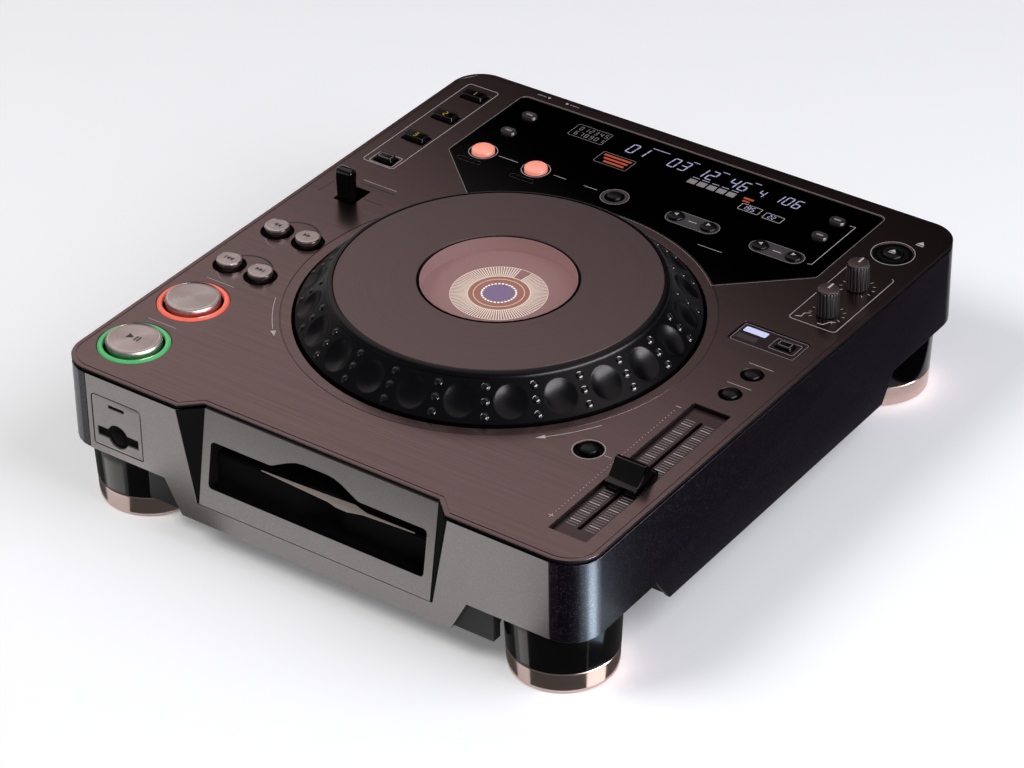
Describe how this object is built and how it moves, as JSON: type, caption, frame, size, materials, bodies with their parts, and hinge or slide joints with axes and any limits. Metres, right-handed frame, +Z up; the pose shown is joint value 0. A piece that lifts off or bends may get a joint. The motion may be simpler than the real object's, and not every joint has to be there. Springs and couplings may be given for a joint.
{
  "type": "tabletop dj cd player",
  "caption": "Slot-loading tabletop disc player with a large free-turning jog dial, lit play and cue buttons, tempo slider, display window and round feet.",
  "frame": {"origin": "on the table under the middle of the whole player, rear sockets included", "axes": "+Z up, +Y to the back, where the sockets are, +X to the right as seen from the front"},
  "size_m": [0.32, 0.368, 0.105],
  "materials": {
    "deck_metal": "brushed, warm grey-brown",
    "case_paint": "semi-gloss dark purple-black",
    "panel_paint": "satin metallic grey",
    "chassis_steel": "dark satin steel",
    "black_plastic": "fine-grained black",
    "leg_plastic": "black gloss",
    "foot_metal": "polished, warm tint",
    "key_metal": "spun silver",
    "window_gloss": "black gloss display window",
    "lamp_green": "lit green ring",
    "lamp_coral": "lit orange-red ring",
    "key_lit": "lit pink-orange key",
    "key_grey": "grey rubbery key",
    "key_black": "satin black key",
    "slider_bed_print": "brown with printed ticks",
    "dial_top": "spun, warm grey-brown",
    "dial_rim": "black semi-gloss",
    "dial_glass": "clear, faint pink-brown tint",
    "dial_display": "lit cream ring on pink-brown ground"
  },
  "bodies": {
    "player": {"main_case": "case_paint", "front_panel": "panel_paint", "slot_bezel": "panel_paint", "slot_housing": "black_plastic", "chassis_tray": "chassis_steel", "deck_plate": "deck_metal", "deck_frame": "black_plastic", "display_window": "window_gloss", "mode_panel": "window_gloss", "slider_bed": "slider_bed_print", "play_ring": "lamp_green", "cue_ring": "lamp_coral", "rear_panel": "black_plastic", "mains_inlet": "black_plastic", "jog_window": "dial_glass", "jog_display": "dial_display", "leg_front_left": "leg_plastic", "foot_ring_front_left": "foot_metal", "leg_front_right": "leg_plastic", "foot_ring_front_right": "foot_metal", "leg_rear_left": "leg_plastic", "foot_ring_rear_left": "foot_metal", "leg_rear_right": "leg_plastic", "foot_ring_rear_right": "foot_metal"},
    "jog_dial": {"jog_ring": "dial_rim", "jog_plate": "dial_top"},
    "play_button": {"play_button": "key_metal"},
    "cue_button": {"cue_button": "key_metal"},
    "track_back_button": {"track_back_button": "key_metal"},
    "track_next_button": {"track_next_button": "key_metal"},
    "search_back_button": {"search_back_button": "key_metal"},
    "search_next_button": {"search_next_button": "key_metal"},
    "loop_in_button": {"loop_in_button": "key_lit"},
    "loop_out_button": {"loop_out_button": "key_lit"},
    "loop_exit_button": {"loop_exit_button": "key_black"},
    "wave_back_button": {"wave_back_button": "key_black"},
    "wave_next_button": {"wave_next_button": "key_black"},
    "call_back_button": {"call_back_button": "key_black"},
    "call_next_button": {"call_next_button": "key_black"},
    "eject_button": {"eject_button": "key_black"},
    "tempo_range_button": {"tempo_range_button": "key_black"},
    "master_tempo_button": {"master_tempo_button": "key_black"},
    "tempo_reset_button": {"tempo_reset_button": "key_black"},
    "jog_mode_button": {"jog_mode_button": "key_black"},
    "time_button": {"time_button": "key_grey"},
    "text_button": {"text_button": "key_grey"},
    "memory_button": {"memory_button": "key_grey"},
    "delete_button": {"delete_button": "key_grey"},
    "hot_cue_1": {"hot_cue_1": "key_black"},
    "hot_cue_2": {"hot_cue_2": "key_black"},
    "hot_cue_3": {"hot_cue_3": "key_black"},
    "record_button": {"record_button": "key_black"},
    "direction_lever": {"direction_lever": "key_black"},
    "brake_knob": {"brake_knob": "key_black"},
    "start_knob": {"start_knob": "key_black"},
    "slider_cap": {"slider_cap": "key_black"},
    "card_door": {"card_door": "panel_paint"},
    "power_button": {"power_button": "key_black"},
    "lock_switch": {"lock_switch": "key_black"}
  },
  "joints": [
    {"name": "jog_spin", "type": "hinge", "parent": "player", "child": "jog_dial", "pos_m": [0, -0.02375, 0.09], "axis": [0, 0, 1], "continuous": true},
    {"name": "play_button_press", "type": "slide", "parent": "player", "child": "play_button", "axis": [0, 0, -1], "range_m": [0, 0.0015], "stiffness_N_per_m": 350, "springref_m": -0.002},
    {"name": "cue_button_press", "type": "slide", "parent": "player", "child": "cue_button", "axis": [0, 0, -1], "range_m": [0, 0.0015], "stiffness_N_per_m": 350, "springref_m": -0.002},
    {"name": "track_back_button_press", "type": "slide", "parent": "player", "child": "track_back_button", "axis": [0, 0, -1], "range_m": [0, 0.0012], "stiffness_N_per_m": 250, "springref_m": -0.002},
    {"name": "track_next_button_press", "type": "slide", "parent": "player", "child": "track_next_button", "axis": [0, 0, -1], "range_m": [0, 0.0012], "stiffness_N_per_m": 250, "springref_m": -0.002},
    {"name": "search_back_button_press", "type": "slide", "parent": "player", "child": "search_back_button", "axis": [0, 0, -1], "range_m": [0, 0.0012], "stiffness_N_per_m": 250, "springref_m": -0.002},
    {"name": "search_next_button_press", "type": "slide", "parent": "player", "child": "search_next_button", "axis": [0, 0, -1], "range_m": [0, 0.0012], "stiffness_N_per_m": 250, "springref_m": -0.002},
    {"name": "loop_in_button_press", "type": "slide", "parent": "player", "child": "loop_in_button", "axis": [0, 0, -1], "range_m": [0, 0.001], "stiffness_N_per_m": 200, "springref_m": -0.002},
    {"name": "loop_out_button_press", "type": "slide", "parent": "player", "child": "loop_out_button", "axis": [0, 0, -1], "range_m": [0, 0.001], "stiffness_N_per_m": 200, "springref_m": -0.002},
    {"name": "loop_exit_button_press", "type": "slide", "parent": "player", "child": "loop_exit_button", "axis": [0, 0, -1], "range_m": [0, 0.0008], "stiffness_N_per_m": 200, "springref_m": -0.002},
    {"name": "wave_back_button_press", "type": "slide", "parent": "player", "child": "wave_back_button", "axis": [0, 0, -1], "range_m": [0, 0.0008], "stiffness_N_per_m": 200, "springref_m": -0.002},
    {"name": "wave_next_button_press", "type": "slide", "parent": "player", "child": "wave_next_button", "axis": [0, 0, -1], "range_m": [0, 0.0008], "stiffness_N_per_m": 200, "springref_m": -0.002},
    {"name": "call_back_button_press", "type": "slide", "parent": "player", "child": "call_back_button", "axis": [0, 0, -1], "range_m": [0, 0.0008], "stiffness_N_per_m": 200, "springref_m": -0.002},
    {"name": "call_next_button_press", "type": "slide", "parent": "player", "child": "call_next_button", "axis": [0, 0, -1], "range_m": [0, 0.0008], "stiffness_N_per_m": 200, "springref_m": -0.002},
    {"name": "eject_button_press", "type": "slide", "parent": "player", "child": "eject_button", "axis": [0, 0, -1], "range_m": [0, 0.0008], "stiffness_N_per_m": 200, "springref_m": -0.002},
    {"name": "tempo_range_button_press", "type": "slide", "parent": "player", "child": "tempo_range_button", "axis": [0, 0, -1], "range_m": [0, 0.0008], "stiffness_N_per_m": 200, "springref_m": -0.002},
    {"name": "master_tempo_button_press", "type": "slide", "parent": "player", "child": "master_tempo_button", "axis": [0, 0, -1], "range_m": [0, 0.0008], "stiffness_N_per_m": 200, "springref_m": -0.002},
    {"name": "tempo_reset_button_press", "type": "slide", "parent": "player", "child": "tempo_reset_button", "axis": [0, 0, -1], "range_m": [0, 0.0008], "stiffness_N_per_m": 200, "springref_m": -0.002},
    {"name": "jog_mode_button_press", "type": "slide", "parent": "player", "child": "jog_mode_button", "axis": [0, 0, -1], "range_m": [0, 0.0008], "stiffness_N_per_m": 200, "springref_m": -0.002},
    {"name": "time_button_press", "type": "slide", "parent": "player", "child": "time_button", "axis": [0, 0, -1], "range_m": [0, 0.0008], "stiffness_N_per_m": 200, "springref_m": -0.002},
    {"name": "text_button_press", "type": "slide", "parent": "player", "child": "text_button", "axis": [0, 0, -1], "range_m": [0, 0.0008], "stiffness_N_per_m": 200, "springref_m": -0.002},
    {"name": "memory_button_press", "type": "slide", "parent": "player", "child": "memory_button", "axis": [0, 0, -1], "range_m": [0, 0.0008], "stiffness_N_per_m": 200, "springref_m": -0.002},
    {"name": "delete_button_press", "type": "slide", "parent": "player", "child": "delete_button", "axis": [0, 0, -1], "range_m": [0, 0.0008], "stiffness_N_per_m": 200, "springref_m": -0.002},
    {"name": "hot_cue_1_press", "type": "slide", "parent": "player", "child": "hot_cue_1", "axis": [0, 0, -1], "range_m": [0, 0.001], "stiffness_N_per_m": 200, "springref_m": -0.002},
    {"name": "hot_cue_2_press", "type": "slide", "parent": "player", "child": "hot_cue_2", "axis": [0, 0, -1], "range_m": [0, 0.001], "stiffness_N_per_m": 200, "springref_m": -0.002},
    {"name": "hot_cue_3_press", "type": "slide", "parent": "player", "child": "hot_cue_3", "axis": [0, 0, -1], "range_m": [0, 0.001], "stiffness_N_per_m": 200, "springref_m": -0.002},
    {"name": "record_button_press", "type": "slide", "parent": "player", "child": "record_button", "axis": [0, 0, -1], "range_m": [0, 0.001], "stiffness_N_per_m": 200, "springref_m": -0.002},
    {"name": "direction_tilt", "type": "hinge", "parent": "player", "child": "direction_lever", "pos_m": [-0.132, 0.021, 0.0693], "axis": [-1, 0, 0], "range_deg": [0, 20]},
    {"name": "brake_knob_turn", "type": "hinge", "parent": "player", "child": "brake_knob", "pos_m": [0.1403, 0.098, 0.09], "axis": [0, 0, 1], "range_deg": [-150, 150]},
    {"name": "start_knob_turn", "type": "hinge", "parent": "player", "child": "start_knob", "pos_m": [0.1403, 0.068, 0.09], "axis": [0, 0, 1], "range_deg": [-150, 150]},
    {"name": "tempo_slide", "type": "slide", "parent": "player", "child": "slider_cap", "axis": [0, 1, 0], "range_m": [-0.0413, 0.0587]},
    {"name": "card_door_hinge", "type": "hinge", "parent": "player", "child": "card_door", "pos_m": [-0.12275, -0.1829, 0.0425], "axis": [1, 0, 0], "range_deg": [0, 90]},
    {"name": "power_press", "type": "slide", "parent": "player", "child": "power_button", "axis": [0, -1, 0], "range_m": [0, 0.002], "stiffness_N_per_m": 250, "springref_m": -0.002},
    {"name": "lock_slide", "type": "slide", "parent": "player", "child": "lock_switch", "axis": [1, 0, 0], "range_m": [0, 0.005]}
  ]
}
